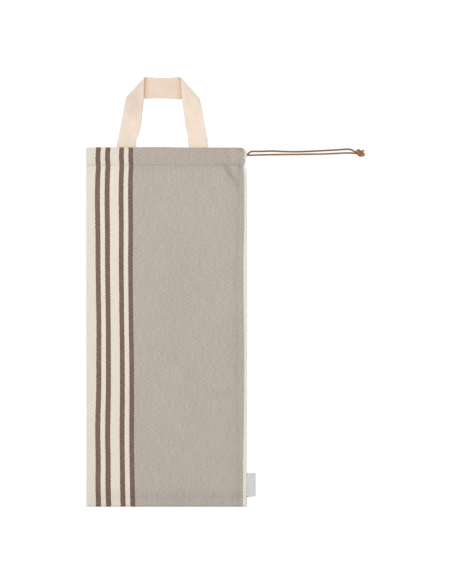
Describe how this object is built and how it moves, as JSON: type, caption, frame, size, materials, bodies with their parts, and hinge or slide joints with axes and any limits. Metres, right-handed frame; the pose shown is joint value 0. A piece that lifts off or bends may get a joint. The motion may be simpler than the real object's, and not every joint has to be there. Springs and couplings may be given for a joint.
{
  "type": "linen bread bag",
  "caption": "Long flat cloth bread bag with woven stripes, a drawstring channel with a knotted cord, a folded webbing handle and a side label, lying face up.",
  "frame": {"origin": "on the surface under the middle of the outline of the bag, handle and side label, without the drawstring's free strands", "axes": "+Z off the surface, +Y from the bag's closed bottom towards its mouth and handle, +X from the folded left edge towards the side seam"},
  "size_m": [0.5203, 0.803, 0.0129],
  "materials": {
    "striped_linen": "woven, matt, taupe field with cream ground and four brown stripes",
    "webbing": "plain woven natural cotton webbing",
    "cord": "waxed tan cord, slight sheen",
    "label_tape": "smooth woven label tape, blank"
  },
  "bodies": {
    "root": {"bag_body": "striped_linen", "handle_strap": "webbing", "drawstring_upper": "cord", "drawstring_lower": "cord", "drawstring_knot": "cord", "side_label": "label_tape"}
  },
  "joints": []
}
